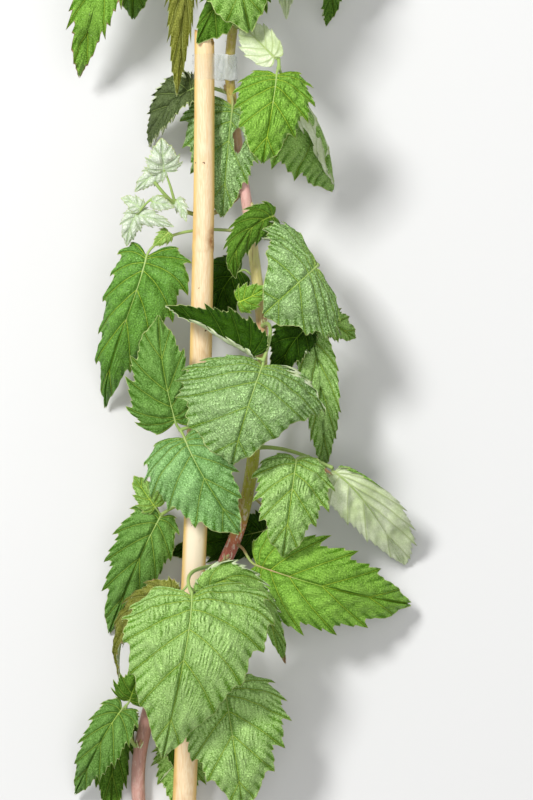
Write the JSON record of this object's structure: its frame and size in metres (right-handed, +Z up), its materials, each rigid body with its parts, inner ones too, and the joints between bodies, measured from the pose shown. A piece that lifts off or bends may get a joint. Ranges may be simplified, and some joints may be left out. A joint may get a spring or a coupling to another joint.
{
  "type": "raspberry cane",
  "caption": "Raspberry cane cut below and laid down, tied with clear tape to a bamboo stake, with drooping toothed compound leaves on both sides.",
  "frame": {"origin": "middle of the footprint, on the surface that the plant lies on", "axes": "+Y toward the growing tip, +Z up from the surface through the plant's front, +X to the right of the front"},
  "size_m": [0.1824, 0.6068, 0.094],
  "materials": {
    "bamboo": "smooth straw-coloured bamboo",
    "cane_skin": "smooth purple-brown bark",
    "stalk_skin": "soft green stalk",
    "leaf_green": "matt green upper side, pale underside",
    "leaf_pale": "pale young leaf or underside",
    "tape_film": "clear wrinkled tape"
  },
  "bodies": {
    "root": {"bamboo_stake": "bamboo", "cane": "cane_skin", "leaf_01": "leaf_green", "leaf_02": "leaf_green", "leaf_04_end": "leaf_green", "leaf_04_side": "leaf_pale", "leaf_04_stalk": "stalk_skin", "leaf_05_end": "leaf_green", "leaf_05_side_a": "leaf_green", "leaf_05_side_b": "leaf_green", "leaf_05_side_c": "leaf_green", "leaf_05_stalk": "stalk_skin", "leaf_06_end": "leaf_green", "leaf_06_side": "leaf_green", "leaf_06_stalk": "stalk_skin", "leaf_07_end": "leaf_green", "leaf_07_side_a": "leaf_green", "leaf_07_side_b": "leaf_pale", "leaf_07_stalk": "stalk_skin", "leaf_08_end": "leaf_green", "leaf_08_side": "leaf_green", "leaf_08_stalk": "stalk_skin", "leaf_09_end": "leaf_green", "leaf_09_side": "leaf_green", "leaf_09_stalk": "stalk_skin", "leaf_10": "leaf_green", "leaf_10_side": "leaf_green", "leaf_11": "leaf_green", "leaf_12_end": "leaf_green", "leaf_12_side_a": "leaf_green", "leaf_12_side_b": "leaf_green", "leaf_12_stalk": "stalk_skin", "leaf_13_end": "leaf_green", "leaf_13_side": "leaf_green", "leaf_13_stalk": "stalk_skin", "leaf_14_end": "leaf_green", "leaf_14_side": "leaf_green", "leaf_14_stalk": "stalk_skin", "leaf_15_end": "leaf_green", "leaf_15_side": "leaf_pale", "leaf_15_stalk": "stalk_skin", "leaf_16_end": "leaf_green", "leaf_16_side": "leaf_green", "leaf_16_stalk": "stalk_skin", "leaf_17": "leaf_green", "leaf_18": "leaf_green", "leaf_19_end": "leaf_green", "leaf_19_side_a": "leaf_green", "leaf_19_side_b": "leaf_green", "leaf_19_stalk": "stalk_skin", "leaf_20": "leaf_green", "leaf_21": "leaf_green", "leaf_22_end": "leaf_green", "leaf_22_side_a": "leaf_green", "leaf_22_side_b": "leaf_green", "leaf_22_stalk": "stalk_skin", "leaf_23": "leaf_pale", "leaf_24": "leaf_green", "side_shoot": "leaf_pale", "tape_tie": "tape_film"}
  },
  "joints": []
}
